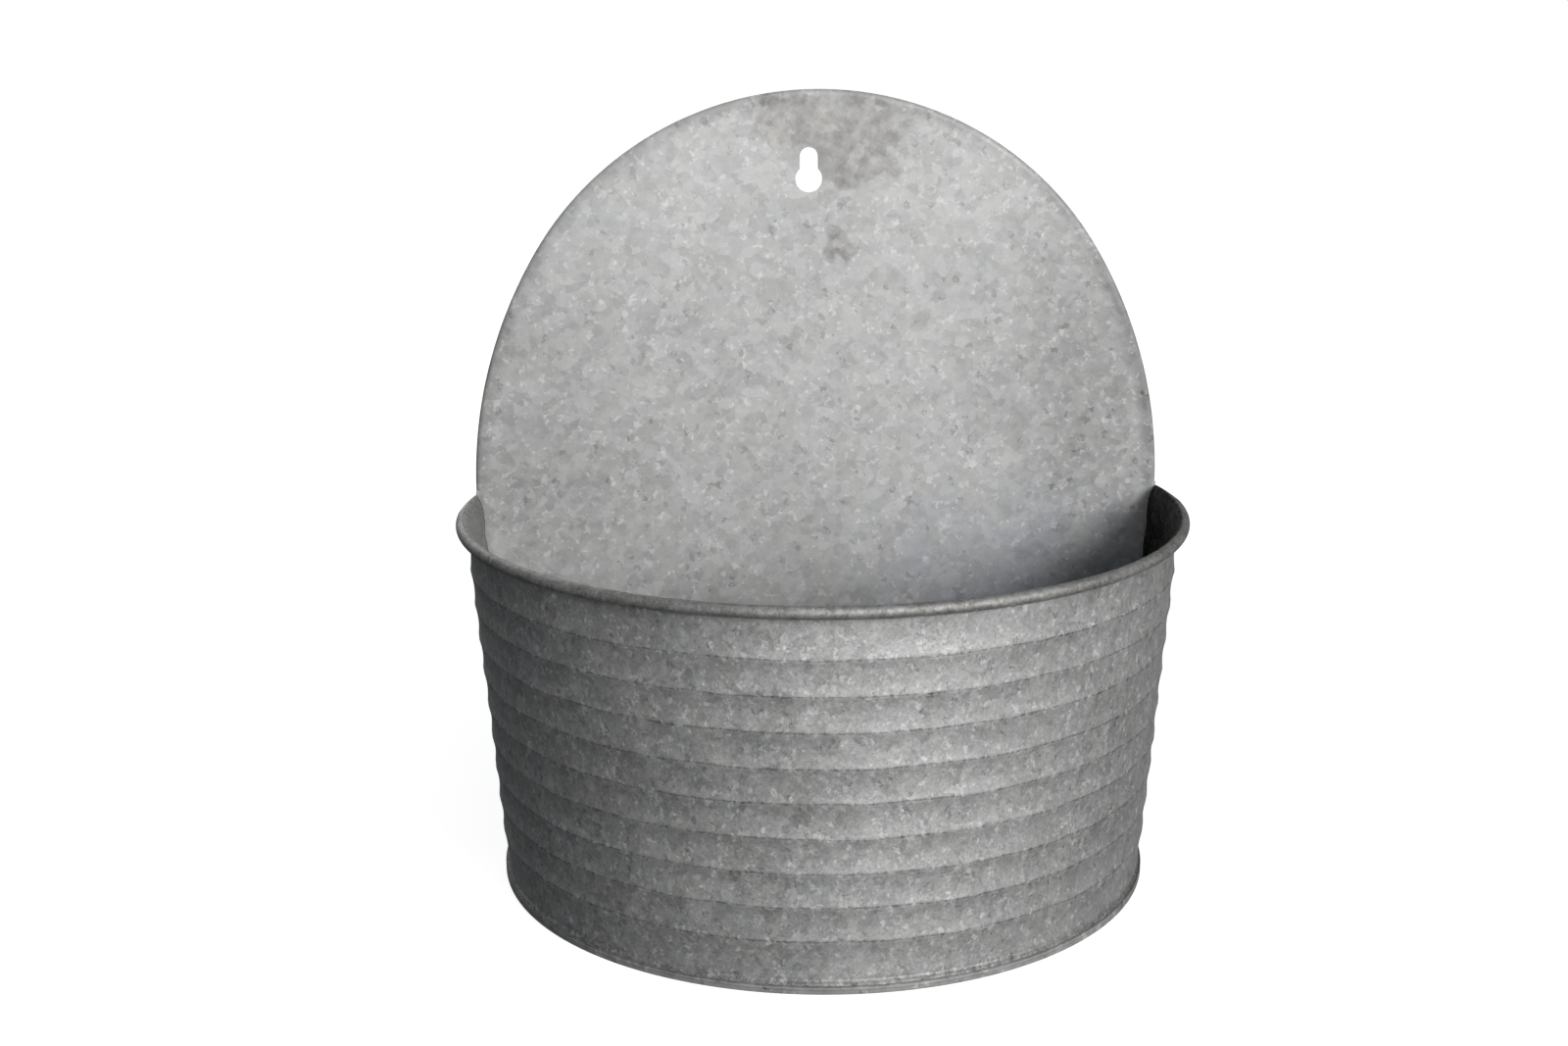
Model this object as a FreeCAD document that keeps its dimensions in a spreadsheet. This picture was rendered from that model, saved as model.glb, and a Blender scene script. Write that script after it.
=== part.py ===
import FreeCAD, Part
import math
import os
import Sketcher

# Galvanised sheet-steel wall planter: a flat arched back plate with a keyhole, and a ribbed,
# tapering half-round wall seamed to its front.
#
# Frame: millimetres, +Z up, -Y to the front, the origin on the floor under the middle of the
# object. Each piece is drawn about the upright axis of its half circle, which is then moved back
# by centre_shift, so that the origin comes to the middle of the depth.

# ---------------------------------------------------------------- driving dimensions, in mm
SIZES = {
    # sheet metal and its folds
    "sheet_thickness": 0.6,
    "fold_gap": 0.05,            # air between two folded layers of sheet
    "wire_gap": 0.3,             # air between a wire and the edge rolled round it
    "bead_radius": 2.4,          # outside radius of a rolled edge
    "bead_opening": 50.0,        # degrees left open where a rolled edge comes back to its sheet
    # front wall, seen from above a half circle with straight sides running back to the plate
    "rim_radius": 147.6,         # to the middle of the rolled rim
    "bead_height": 150.7,        # middle of the rolled rim above the floor
    "foot_radius": 134.35,       # outside of the wall at the floor
    "plate_setback": 31.2,       # front face of the plate behind the middle of the half circle
    "rim_waist_radius": 1.95,    # on the straight sides the rolled rim gets thinner, to this
    "rim_waist_reach": 14.0,     # at this distance in front of the plate,
    "rim_end_radius": 0.9,       # and is pinched down to this where it meets the plate
    # ribs round the front wall: sharp crests with shallow hollows between them
    "lowest_crest": 21.2,        # height of the lowest crest
    "crest_pitch": 13.88,
    "crest_rise": 0.4,           # crests stand this far out of the plain cone
    "flute_depth": 0.9,          # depth of the hollow between two crests
    "foot_hollow": 0.5,          # depth of the plain band under the lowest crest
    "neck_hollow": 0.9,          # depth of the plain band between the top crest and the rim
    # back plate
    "plate_half_width": 146.0,   # over the rolled edge, where the arch springs
    "springing_height": 153.3,   # where the upright sides turn into the arch
    "plate_top": 320.1,
    "haunch_angle": 31.6,        # degrees that the arch turns from its springing to its crown
    # keyhole
    "keyhole_side": 3.3,         # how far the keyhole sits to the left of the middle
    "keyhole_height": 283.8,     # middle of the round entry above the floor
    "entry_radius": 5.55,
    "slot_width": 7.5,
    "slot_rise": 9.2,            # from the middle of the entry to the middle of the slot's round end
    # upright seams between the wall and the plate
    "flange_width": 2.6,         # the wall's edge is turned outward by this
    "lip_width": 2.4,            # the plate's margin comes back over the flange by this
    "seam_start": 5.2,           # lower end of the upright seams above the floor
    "seam_drop": 4.7,            # upper end below the middle of the rolled rim
    # base seam
    "band_height": 3.3,          # outer turn of the pan's edge, the band at the very bottom
    "foot_hem": 4.4,             # the wall's foot is doubled up to this height
    "pan_recess": 3.0,           # underside of the pan above the floor
}
CREST_COUNT = 9

doc = FreeCAD.newDocument("wall_planter")
sheet = doc.addObject("Spreadsheet::Sheet", "Sizes")
for row, (alias, size) in enumerate(SIZES.items(), start=1):
    sheet.set(f"A{row}", str(size))
    sheet.setAlias(f"A{row}", alias)
doc.recompute()


def value(expression):
    """The number that an expression on the sheet's aliases comes to."""
    return float(sheet.evalExpression(expression))


# ---------------------------------------------------------------- places that follow from them
THICK = "Sizes.sheet_thickness"
GAP = "Sizes.fold_gap"
BEAD = "Sizes.bead_radius"
PLATE_FRONT = "Sizes.plate_setback"
PLATE_REAR = f"({PLATE_FRONT} + {THICK})"
# The rolled rim hangs outside the wall, so its inner side is flush with the wall's inner face.
TOP_RADIUS = f"(Sizes.rim_radius - {BEAD} + {THICK})"
WALL_SLOPE = f"(({TOP_RADIUS} - Sizes.foot_radius) / (Sizes.bead_height - Sizes.foot_hem))"
SEAM_STOP = "(Sizes.bead_height - Sizes.seam_drop)"
# Layers of the base seam, outward from the pan's inner leg.
FOLD_TOP = f"({THICK} + {GAP})"
INNER_LEG = f"(Sizes.foot_radius - {THICK} - {GAP})"
OUTER_LEG = f"(Sizes.foot_radius + 2 * {THICK} + {GAP})"
CENTRE_SHIFT = f"((Sizes.rim_radius + {BEAD} - {PLATE_FRONT} - 2 * {BEAD}) / 2)"


def cone_radius(height):
    """Outside radius of the plain cone, foot to rim, at a height."""
    return f"(Sizes.foot_radius + {WALL_SLOPE} * ({height} - Sizes.foot_hem))"


def crest_height(index):
    return f"(Sizes.lowest_crest + {index} * Sizes.crest_pitch)"


# ---------------------------------------------------------------- sketching helpers
def new_body(label):
    body = doc.addObject("PartDesign::Body", label)
    body.Label = label
    body.setExpression("Placement.Base.y", CENTRE_SHIFT)
    return body


def origin_plane(body, role):
    return next(item for item in body.Origin.OriginFeatures if item.Role == role)


def new_sketch(body, name, role, offset="0"):
    """A sketch on an origin plane, moved along the plane's normal by an offset.

    The XZ plane's normal points to the front, so a place behind the axis is a negative offset.
    """
    sketch = body.newObject("Sketcher::SketchObject", name)
    sketch.AttachmentSupport = [(origin_plane(body, role), "")]
    sketch.MapMode = "FlatFace"
    sketch.setExpression("AttachmentOffset.Base.z", offset)
    return sketch


def bind(sketch, kind, references, expression):
    """Adds a dimension and ties it to the sheet."""
    index = sketch.addConstraint(Sketcher.Constraint(kind, *references, value(expression)))
    sketch.setExpression(f"Constraints[{index}]", expression)


def fix_point(sketch, edge, end, place):
    bind(sketch, "DistanceX", (-1, 1, edge, end), place[0])
    bind(sketch, "DistanceY", (-1, 1, edge, end), place[1])


def arc_between(start, end, radius, turn):
    """The short arc from start to end, turning left (+1) or right (-1), as drawn anticlockwise.

    Returns the arc and the numbers of its ends that lie at start and at end.
    """
    chord = end - start
    middle = (start + end) * 0.5
    left = FreeCAD.Vector(-chord.y, chord.x, 0).normalize()
    rise = math.sqrt(max(radius ** 2 - (chord.Length / 2) ** 2, 0.0))
    centre = middle + left * (rise * turn)
    first, last = (start, end) if turn > 0 else (end, start)
    angles = [math.atan2(point.y - centre.y, point.x - centre.x) for point in (first, last)]
    if angles[1] <= angles[0]:
        angles[1] += 2 * math.pi
    circle = Part.Circle(centre, FreeCAD.Vector(0, 0, 1), radius)
    ends = (1, 2) if turn > 0 else (2, 1)
    return Part.ArcOfCircle(circle, *angles), ends


def draw_chain(sketch, places, bends=None):
    """A closed outline through places, pairs of expressions.

    bends maps the number of an edge to its (radius, turn); the other edges are straight.
    """
    bends = bends or {}
    points = [FreeCAD.Vector(value(across), value(up), 0) for across, up in places]
    drawn = []
    for index, start in enumerate(points):
        end = points[(index + 1) % len(points)]
        if index in bends:
            radius, turn = bends[index]
            shape, ends = arc_between(start, end, value(radius), turn)
        else:
            shape, ends = Part.LineSegment(start, end), (1, 2)
        drawn.append((sketch.addGeometry(shape, False), ends))
    for index, (edge, ends) in enumerate(drawn):
        before, before_ends = drawn[index - 1]
        sketch.addConstraint(
            Sketcher.Constraint("Coincident", before, before_ends[1], edge, ends[0]))
    for index, (edge, ends) in enumerate(drawn):
        fix_point(sketch, edge, ends[0], places[index])
        if index in bends:
            bind(sketch, "Radius", (edge,), bends[index][0])


def draw_circle(sketch, place, radius):
    centre = FreeCAD.Vector(value(place[0]), value(place[1]), 0)
    circle = Part.Circle(centre, FreeCAD.Vector(0, 0, 1), value(radius))
    edge = sketch.addGeometry(circle, False)
    fix_point(sketch, edge, 3, place)
    bind(sketch, "Radius", (edge,), radius)


def draw_curl(sketch, place, outside, start, sweep):
    """The cut end of a rolled edge: part of a ring round a place, from an angle through a sweep."""
    inside = f"({outside} - {THICK})"
    stop = f"({start} + {sweep})"
    low, high = sorted((start, stop), key=value)
    centre = FreeCAD.Vector(value(place[0]), value(place[1]), 0)
    axis = FreeCAD.Vector(0, 0, 1)
    turn = [math.radians(value(angle)) for angle in (low, high)]
    rings = []
    for radius in (outside, inside):
        circle = Part.Circle(centre, axis, value(radius))
        rings.append(sketch.addGeometry(Part.ArcOfCircle(circle, *turn), False))
        fix_point(sketch, rings[-1], 3, place)
        bind(sketch, "Radius", (rings[-1],), radius)
    for end, angle in ((1, low), (2, high)):
        across, up = math.cos(turn[end - 1]), math.sin(turn[end - 1])
        reach = FreeCAD.Vector(across, up, 0)
        cut = Part.LineSegment(centre + reach * value(outside), centre + reach * value(inside))
        edge = sketch.addGeometry(cut, False)
        sketch.addConstraint(Sketcher.Constraint("Coincident", rings[0], end, edge, 1))
        sketch.addConstraint(Sketcher.Constraint("Coincident", rings[1], end, edge, 2))
        sketch.addConstraint(Sketcher.Constraint("PointOnObject", rings[0], 3, edge))
        if abs(across) < abs(up):
            reached = f"({place[0]} + {outside} * cos({angle} * 1 deg))"
            bind(sketch, "DistanceX", (-1, 1, edge, 1), reached)
        else:
            reached = f"({place[1]} + {outside} * sin({angle} * 1 deg))"
            bind(sketch, "DistanceY", (-1, 1, edge, 1), reached)


def pad(body, sketch, name, length, rearward=False):
    feature = body.newObject("PartDesign::Pad", name)
    feature.Profile = sketch
    feature.Reversed = rearward
    feature.setExpression("Length", length)
    return feature


def half_turn(body, sketch, name):
    """Turns a section drawn to the right of the axis round the front to the left."""
    feature = body.newObject("PartDesign::Revolution", name)
    feature.Profile = sketch
    feature.ReferenceAxis = (sketch, ["V_Axis"])
    feature.Angle = 180
    feature.Reversed = True
    return feature


def mirror_to_left(body, features, name):
    feature = body.newObject("PartDesign::Mirrored", name)
    feature.Originals = features
    feature.MirrorPlane = (origin_plane(body, "YZ_Plane"), [""])
    body.Tip = feature
    return feature


# ---------------------------------------------------------------- front wall
# Depths of the hollows from the foot up.
HOLLOWS = ["Sizes.foot_hollow", *["Sizes.flute_depth"] * (CREST_COUNT - 1), "Sizes.neck_hollow"]


def hollow_radius(chord, depth):
    """Radius of an arc that is depth deep over a chord."""
    return f"((({chord}) ^ 2 / 4 + ({depth}) ^ 2) / (2 * ({depth})))"


def wall_face(inset):
    """Places up the wall from foot to rim, with the radii of the arcs between them.

    inset is nothing for the outer face and the sheet's thickness for the inner one.
    """
    places = [(f"(Sizes.foot_radius - {inset})", "Sizes.foot_hem")]
    for index in range(CREST_COUNT):
        height = crest_height(index)
        places.append((f"({cone_radius(height)} + Sizes.crest_rise - {inset})", height))
    places.append((f"({TOP_RADIUS} - {inset})", "Sizes.bead_height"))
    radii = []
    for (low_x, low_z), (high_x, high_z), depth in zip(places, places[1:], HOLLOWS):
        chord = f"sqrt(({high_x} - {low_x}) ^ 2 + ({high_z} - {low_z}) ^ 2)"
        radii.append(hollow_radius(chord, depth))
    return places, radii


def draw_wall_section(sketch):
    outer, outer_radii = wall_face("0")
    inner, inner_radii = wall_face(THICK)
    hem = f"(Sizes.foot_radius + {THICK})"
    foot = [(hem, FOLD_TOP), (hem, "Sizes.foot_hem")]
    bottom = [(f"(Sizes.foot_radius - {THICK})", FOLD_TOP)]
    places = foot + outer + inner[::-1] + bottom
    bends = {}
    for index, radius in enumerate(outer_radii):
        bends[len(foot) + index] = (radius, -1)
    first_inner = len(foot) + len(outer)
    for index, radius in enumerate(inner_radii[::-1]):
        bends[first_inner + index] = (radius, 1)
    draw_chain(sketch, places, bends)


def draw_flange(sketch):
    """The wall's edge turned outward. Its inner side follows the middle of the ribbed sheet."""
    low = f"(Sizes.seam_start + {GAP})"
    high = f"({SEAM_STOP} - {GAP})"
    crests, _ = wall_face(f"{THICK} / 2")
    inner = []
    for (low_x, low_z), (high_x, high_z), depth in zip(crests, crests[1:], HOLLOWS):
        inner.append((f"(({low_x} + {high_x}) / 2 - {depth})", f"(({low_z} + {high_z}) / 2)"))
        inner.append((high_x, high_z))
    (neck_x, neck_z), (rim_x, rim_z) = inner[-2:]
    rise = f"(({high} - {neck_z}) / ({rim_z} - {neck_z}))"
    inner[-1] = (f"({neck_x} + ({rim_x} - {neck_x}) * {rise})", high)
    draw_chain(sketch, [
        (f"({cone_radius(high)} + Sizes.flange_width)", high),
        (f"({cone_radius(low)} + Sizes.flange_width)", low),
        (f"({cone_radius(low)} - {THICK} / 2)", low),
        *inner,
    ])


def draw_rim_curl(sketch, outside):
    """The rim rolls over the top and outward, down to its opening beside the wall."""
    place = (f"({TOP_RADIUS} - {THICK} + {outside})", "Sizes.bead_height")
    sweep = "(Sizes.bead_opening - 360)"
    draw_curl(sketch, place, outside, "180", sweep)


def make_front_wall():
    body = new_body("front_wall")
    section = new_sketch(body, "wall_section", "XZ_Plane")
    draw_wall_section(section)
    half_turn(body, section, "round_front")
    side = pad(body, section, "straight_side", PLATE_FRONT, rearward=True)

    flange_section = new_sketch(body, "flange_section", "XZ_Plane", f"-({PLATE_FRONT})")
    draw_flange(flange_section)
    flange = pad(body, flange_section, "flange", THICK)

    curl_section = new_sketch(body, "curl_section", "XZ_Plane")
    draw_rim_curl(curl_section, BEAD)
    half_turn(body, curl_section, "rolled_rim")
    waist = f"-({PLATE_FRONT} - Sizes.rim_waist_reach)"
    curl_waist = new_sketch(body, "curl_waist", "XZ_Plane", waist)
    draw_rim_curl(curl_waist, "Sizes.rim_waist_radius")
    curl_end = new_sketch(body, "curl_end", "XZ_Plane", f"-({PLATE_FRONT})")
    draw_rim_curl(curl_end, "Sizes.rim_end_radius")
    pinch = body.newObject("PartDesign::AdditiveLoft", "pinched_rim")
    pinch.Profile = curl_section
    pinch.Sections = [curl_waist, curl_end]
    pinch.Ruled = False
    mirror_to_left(body, [side, flange, pinch], "left_side")
    return body


def make_rim_wire():
    body = new_body("rim_wire")
    section = new_sketch(body, "wire_section", "XZ_Plane")
    draw_circle(section, ("Sizes.rim_radius", "Sizes.bead_height"),
                f"({BEAD} - {THICK} - Sizes.wire_gap)")
    body.Tip = half_turn(body, section, "bent_wire")
    return body


# ---------------------------------------------------------------- back plate
FLAT_HALF_WIDTH = f"(Sizes.plate_half_width - {BEAD})"
ARCH_RISE = "(Sizes.plate_top - Sizes.springing_height)"
HAUNCH_BEND = "tan(Sizes.haunch_angle / 2 * 1 deg)"
# Outside radius of the crown, which meets both haunches smoothly at their angle.
CROWN_RADIUS = f"((Sizes.plate_half_width - {ARCH_RISE} * {HAUNCH_BEND}) / (1 - {HAUNCH_BEND}))"
CROWN_CENTRE = f"(Sizes.plate_top - {CROWN_RADIUS})"


def draw_arch(sketch):
    """The line that the plate's edge is rolled about, from the right springing to the left.

    Its crown is one arc on the middle line. A haunch at each side is upright where it springs.
    Returns the numbers of the first and the last arc.
    """
    line_radius = f"({CROWN_RADIUS} - {BEAD})"
    across = f"({line_radius} * cos(Sizes.haunch_angle * 1 deg))"
    up = f"({CROWN_CENTRE} + {line_radius} * sin(Sizes.haunch_angle * 1 deg))"
    half, spring = value(FLAT_HALF_WIDTH), value("Sizes.springing_height")
    join_x, join_z = value(across), value(up)
    haunch = ((half - join_x) ** 2 + (join_z - spring) ** 2) / (2 * (half - join_x))
    turn = math.radians(value("Sizes.haunch_angle"))
    axis = FreeCAD.Vector(0, 0, 1)
    right = Part.Circle(FreeCAD.Vector(half - haunch, spring, 0), axis, haunch)
    top = Part.Circle(FreeCAD.Vector(0, value(CROWN_CENTRE), 0), axis, value(line_radius))
    left = Part.Circle(FreeCAD.Vector(haunch - half, spring, 0), axis, haunch)
    arcs = [
        sketch.addGeometry(Part.ArcOfCircle(right, 0, turn), False),
        sketch.addGeometry(Part.ArcOfCircle(top, turn, math.pi - turn), False),
        sketch.addGeometry(Part.ArcOfCircle(left, math.pi - turn, math.pi), False),
    ]
    sketch.addConstraint(Sketcher.Constraint("Coincident", arcs[0], 2, arcs[1], 1))
    sketch.addConstraint(Sketcher.Constraint("Coincident", arcs[1], 2, arcs[2], 1))
    fix_point(sketch, arcs[0], 1, (FLAT_HALF_WIDTH, "Sizes.springing_height"))
    fix_point(sketch, arcs[0], 2, (across, up))
    fix_point(sketch, arcs[2], 1, (f"-{across}", up))
    fix_point(sketch, arcs[2], 2, (f"-{FLAT_HALF_WIDTH}", "Sizes.springing_height"))
    for side in (arcs[0], arcs[2]):
        bind(sketch, "DistanceY", (-1, 1, side, 3), "Sizes.springing_height")
    bind(sketch, "DistanceY", (-1, 1, arcs[1], 3), CROWN_CENTRE)
    return arcs[0], arcs[2]


def seam_edge(height):
    """Outside of the upright seam at a height: the flange, a gap and the fold round it."""
    return f"({cone_radius(height)} + Sizes.flange_width + {GAP} + {THICK})"


def draw_plate_outline(sketch):
    """The plate's flat: a foot inside the base seam, two seam margins, and the arch."""
    first, last = draw_arch(sketch)
    foot = f"(Sizes.foot_radius + {THICK})"
    start, stop = "Sizes.seam_start", SEAM_STOP
    right = [
        (FLAT_HALF_WIDTH, "Sizes.springing_height"),
        ("Sizes.plate_half_width", "Sizes.springing_height"),
        ("Sizes.plate_half_width", stop),
        (seam_edge(stop), stop),
        (seam_edge(start), start),
        (foot, start),
        (foot, FOLD_TOP),
    ]
    places = right + [(f"-{across}", up) for across, up in right[::-1]]
    points = [FreeCAD.Vector(value(across), value(up), 0) for across, up in places]
    edges = []
    for start_point, end_point in zip(points, points[1:]):
        edges.append(sketch.addGeometry(Part.LineSegment(start_point, end_point), False))
    for before, after in zip(edges, edges[1:]):
        sketch.addConstraint(Sketcher.Constraint("Coincident", before, 2, after, 1))
    sketch.addConstraint(Sketcher.Constraint("Coincident", first, 1, edges[0], 1))
    sketch.addConstraint(Sketcher.Constraint("Coincident", last, 2, edges[-1], 2))
    for edge, place in zip(edges[1:], places[1:]):
        fix_point(sketch, edge, 1, place)


def draw_keyhole_slot(sketch):
    """Upright slot from the middle of the round entry to its own round end."""
    half = "Sizes.slot_width / 2"
    low = "Sizes.keyhole_height"
    high = "(Sizes.keyhole_height + Sizes.slot_rise)"
    draw_chain(sketch, [
        (f"(-Sizes.keyhole_side + {half})", low),
        (f"(-Sizes.keyhole_side + {half})", high),
        ("-Sizes.keyhole_side", f"({high} + {half})"),
        (f"(-Sizes.keyhole_side - {half})", high),
        (f"(-Sizes.keyhole_side - {half})", low),
    ], {1: (half, 1), 2: (half, 1)})


def cut_through(body, sketch, name):
    """Cuts rearward through the sheet and makes sure that metal was taken away."""
    before = body.Tip.Shape.Volume
    feature = body.newObject("PartDesign::Pocket", name)
    feature.Profile = sketch
    feature.setExpression("Length", f"2 * {THICK}")
    feature.Reversed = False
    doc.recompute()
    if feature.Shape.Volume >= before:
        feature.Reversed = True
        doc.recompute()
    print(f"{name}: {before - feature.Shape.Volume:.1f} mm3 cut away")
    return feature


def make_back_plate():
    body = new_body("back_plate")
    outline = new_sketch(body, "plate_outline", "XZ_Plane", f"-({PLATE_FRONT})")
    draw_plate_outline(outline)
    pad(body, outline, "flat_sheet", THICK, rearward=True)

    path = new_sketch(body, "arch_line", "XZ_Plane", f"-({PLATE_FRONT})")
    draw_arch(path)
    section = new_sketch(body, "edge_section", "XY_Plane", "Sizes.springing_height")
    place = (FLAT_HALF_WIDTH, f"({PLATE_FRONT} + {BEAD})")
    draw_curl(section, place, BEAD, "-90", "(360 - Sizes.bead_opening)")
    rolled = body.newObject("PartDesign::AdditivePipe", "rolled_edge")
    rolled.Profile = section
    rolled.Spine = (path, [""])
    rolled.Transition = "Transformed"

    start, stop = "Sizes.seam_start", SEAM_STOP
    turn_section = new_sketch(body, "turn_section", "XZ_Plane", f"-({PLATE_FRONT})")
    draw_chain(turn_section, [
        (f"({seam_edge(start)} - {THICK})", start),
        (seam_edge(start), start),
        (seam_edge(stop), stop),
        (f"({seam_edge(stop)} - {THICK})", stop),
    ])
    turn = pad(body, turn_section, "fold_turn", f"(2 * {THICK} + {GAP})")
    lip_offset = f"-({PLATE_FRONT} - {THICK} - {GAP})"
    lip_section = new_sketch(body, "lip_section", "XZ_Plane", lip_offset)
    draw_chain(lip_section, [
        (f"({seam_edge(start)} - Sizes.lip_width)", start),
        (seam_edge(start), start),
        (seam_edge(stop), stop),
        (f"({seam_edge(stop)} - Sizes.lip_width)", stop),
    ])
    lip = pad(body, lip_section, "fold_lip", THICK)
    mirror_to_left(body, [turn, lip], "left_fold")
    doc.recompute()

    entry_section = new_sketch(body, "entry_section", "XZ_Plane", f"-({PLATE_REAR})")
    draw_circle(entry_section, ("-Sizes.keyhole_side", "Sizes.keyhole_height"),
                "Sizes.entry_radius")
    cut_through(body, entry_section, "keyhole_entry")
    slot_section = new_sketch(body, "slot_section", "XZ_Plane", f"-({PLATE_REAR})")
    draw_keyhole_slot(slot_section)
    cut_through(body, slot_section, "keyhole_slot")
    return body


def make_edge_wire():
    body = new_body("edge_wire")
    path = new_sketch(body, "arch_line", "XZ_Plane", f"-({PLATE_FRONT})")
    draw_arch(path)
    section = new_sketch(body, "wire_section", "XY_Plane", "Sizes.springing_height")
    draw_circle(section, (FLAT_HALF_WIDTH, f"({PLATE_FRONT} + {BEAD})"),
                f"({BEAD} - {THICK} - Sizes.wire_gap)")
    wire = body.newObject("PartDesign::AdditivePipe", "bent_wire")
    wire.Profile = section
    wire.Spine = (path, [""])
    wire.Transition = "Transformed"
    body.Tip = wire
    return body


# ---------------------------------------------------------------- base pan
def draw_d_outline(sketch, radius, back):
    """Half circle to the front, straight sides and a straight back."""
    draw_chain(sketch, [
        (radius, "0"),
        (radius, back),
        (f"-{radius}", back),
        (f"-{radius}", "0"),
        ("0", f"-{radius}"),
    ], {3: (radius, 1), 4: (radius, 1)})


def make_base_pan():
    body = new_body("base_pan")
    inner_back = f"({PLATE_FRONT} - {GAP})"
    outer_back = f"({PLATE_REAR} + {GAP} + {THICK})"
    inner_face = (f"({INNER_LEG} - {THICK})", f"({inner_back} - {THICK})")
    rings = {
        "fold": (inner_face, (OUTER_LEG, outer_back), THICK),
        "inner_leg": (inner_face, (INNER_LEG, inner_back), f"(Sizes.pan_recess + {THICK})"),
        "outer_leg": ((f"({OUTER_LEG} - {THICK})", f"({outer_back} - {THICK})"),
                      (OUTER_LEG, outer_back), "Sizes.band_height"),
    }
    for name, (inside, outside, height) in rings.items():
        section = new_sketch(body, f"{name}_section", "XY_Plane")
        draw_d_outline(section, *outside)
        draw_d_outline(section, *inside)
        pad(body, section, name, height)
    floor_section = new_sketch(body, "floor_section", "XY_Plane", "Sizes.pan_recess")
    draw_d_outline(floor_section, INNER_LEG, inner_back)
    body.Tip = pad(body, floor_section, "pan_floor", THICK)
    return body


# ---------------------------------------------------------------- assembly
BODIES = [
    make_back_plate(),
    make_edge_wire(),
    make_front_wall(),
    make_rim_wire(),
    make_base_pan(),
]
doc.recompute()

for item in doc.Objects:
    if "Invalid" in item.State or "Error" in item.State:
        raise RuntimeError(f"{item.Label} failed: {item.State}")
for body in BODIES:
    if body.Shape.isNull() or not body.Shape.isValid() or len(body.Shape.Solids) != 1:
        raise RuntimeError(f"{body.Label} is not one valid solid")

os.makedirs("parts", exist_ok=True)
for body in BODIES:
    box = body.Shape.BoundBox
    print(f"{body.Label}: {body.Shape.Volume:.0f} mm3, x {box.XMin:.2f} to {box.XMax:.2f}, "
          f"y {box.YMin:.2f} to {box.YMax:.2f}, z {box.ZMin:.2f} to {box.ZMax:.2f}")
    body.Shape.exportStep(f"parts/{body.Label}.step")
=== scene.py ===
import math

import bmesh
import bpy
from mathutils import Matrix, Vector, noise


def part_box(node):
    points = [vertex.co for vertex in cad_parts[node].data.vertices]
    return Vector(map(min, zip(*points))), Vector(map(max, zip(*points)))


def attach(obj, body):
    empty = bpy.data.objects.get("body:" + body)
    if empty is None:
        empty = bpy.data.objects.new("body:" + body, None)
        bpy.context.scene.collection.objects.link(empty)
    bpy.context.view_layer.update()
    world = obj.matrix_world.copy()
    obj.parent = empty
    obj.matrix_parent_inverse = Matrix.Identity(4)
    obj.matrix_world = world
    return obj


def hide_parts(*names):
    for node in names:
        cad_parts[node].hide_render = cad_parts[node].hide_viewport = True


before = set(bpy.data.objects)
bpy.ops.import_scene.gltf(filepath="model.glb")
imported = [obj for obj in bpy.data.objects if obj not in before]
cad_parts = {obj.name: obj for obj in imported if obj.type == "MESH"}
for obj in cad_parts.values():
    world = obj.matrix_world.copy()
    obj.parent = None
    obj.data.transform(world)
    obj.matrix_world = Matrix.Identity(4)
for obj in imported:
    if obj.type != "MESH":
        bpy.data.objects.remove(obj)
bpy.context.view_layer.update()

# %% [markdown]
# # A galvanised wall planter
# The real object is five pieces of zinc-coated steel: a flat arched plate, a ribbed half-round
# wall, a pan for a bottom, and two wires that the rolled edges are wrapped round. The fixed model
# gives every place and size. Here the three sheets are made again with a finer surface, so that
# the rolled ribs can be a little uneven, as rollers leave them, and all five get their zinc.

MM = 0.001
CLOSE = 0.001 * MM                   # points nearer than this are the same point
for node in sorted(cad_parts):
    low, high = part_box(node)
    print(node, [round(c / MM, 2) for c in low], [round(c / MM, 2) for c in high])

# %% [markdown]
# ## The camera
# The planter was photographed from a little above and a little to the left, with a long lens.
# A camera can be aimed with angles or with a matrix. The matrix is built here from three
# directions (right, up and backward), because that keeps the small roll of the photograph.

# %% Camera
EYE = Vector((-0.0446, -0.7677, 0.3563))
YAW, PITCH, ROLL = 0.0351, -0.2504, -0.0069
forward = Vector((math.sin(YAW) * math.cos(PITCH), math.cos(YAW) * math.cos(PITCH),
                  math.sin(PITCH)))
level = Vector((math.cos(YAW), -math.sin(YAW), 0))
upright = level.cross(forward)
right = level * math.cos(ROLL) + upright * math.sin(ROLL)
above = upright * math.cos(ROLL) - level * math.sin(ROLL)
camera_data = bpy.data.cameras.new("photo_camera")
camera_data.lens = 47.11
camera_data.sensor_width = 36
camera_data.clip_start = 0.05
camera = bpy.data.objects.new("photo_camera", camera_data)
camera_turn = Matrix((right, above, -forward)).transposed().to_4x4()
camera.matrix_world = Matrix.Translation(EYE) @ camera_turn
bpy.context.scene.collection.objects.link(camera)
bpy.context.scene.camera = camera
bpy.context.scene.view_settings.view_transform = "Standard"
print("camera looks along", [round(c, 3) for c in forward])

# %% [markdown]
# ## Floor and light
# A large soft lamp at the right of the camera, a little above it, makes the broad sheen down the
# middle of the wall and the soft shadow inside the planter. One lamp could do it all, but the
# foot of the wall would be too dark, so a weaker one stands low beside it, and others lift the
# front, the left edge, the inside and the back. The floor is pale and plain. It takes the shadow,
# but sends no light back to the metal, because the left of the planter is dark in the photograph.

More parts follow.
